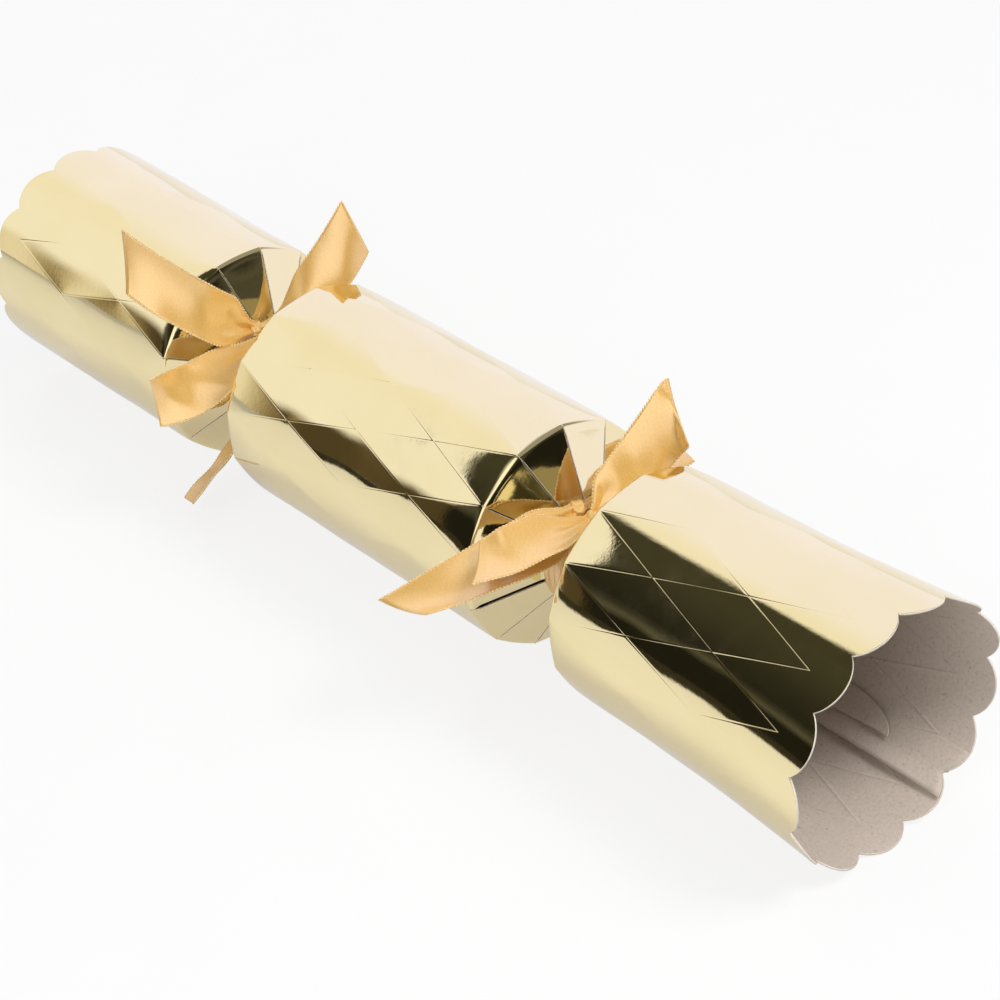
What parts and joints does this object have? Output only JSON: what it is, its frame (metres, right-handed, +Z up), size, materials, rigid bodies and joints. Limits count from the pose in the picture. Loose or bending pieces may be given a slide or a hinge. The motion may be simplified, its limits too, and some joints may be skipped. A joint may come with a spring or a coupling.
{
  "type": "christmas cracker",
  "caption": "Table cracker rolled from scored mirror-gold card, with scalloped open ends, ribbon-tied necks and ends that pull away to fire the snap inside.",
  "frame": {"origin": "middle of the flat at the bottom of the barrel, on the surface that the cracker lies on", "axes": "+X along the tube towards the right end, +Y to the back, +Z up"},
  "size_m": [0.2794, 0.0717, 0.068],
  "materials": {
    "gold_card": "polished",
    "satin_ribbon": "satin",
    "snap_card": "matte",
    "snap_paper": "matte",
    "snap_compound": "matte",
    "tissue_paper": "matte",
    "motto_paper": "matte",
    "rubber": "matte",
    "turned_wood": "satin"
  },
  "bodies": {
    "barrel": {"barrel_card": "gold_card", "right_inner_ribbon": "satin_ribbon", "right_outer_ribbon": "satin_ribbon", "left_inner_ribbon": "satin_ribbon", "left_outer_ribbon": "satin_ribbon", "snap_sleeve": "snap_paper", "paper_crown": "tissue_paper", "motto_slip": "motto_paper", "rubber_band": "rubber", "spinning_top": "turned_wood"},
    "right_end": {"right_bell_card": "gold_card", "right_snap_strip": "snap_card"},
    "left_end": {"left_bell_card": "gold_card", "left_snap_strip": "snap_card", "snap_charge": "snap_compound"}
  },
  "joints": [
    {"name": "right_pull", "type": "slide", "parent": "barrel", "child": "right_end", "axis": [1, 0, 0], "range_m": [0, 0.09]},
    {"name": "left_pull", "type": "slide", "parent": "barrel", "child": "left_end", "axis": [-1, 0, 0], "range_m": [0, 0.09]}
  ]
}
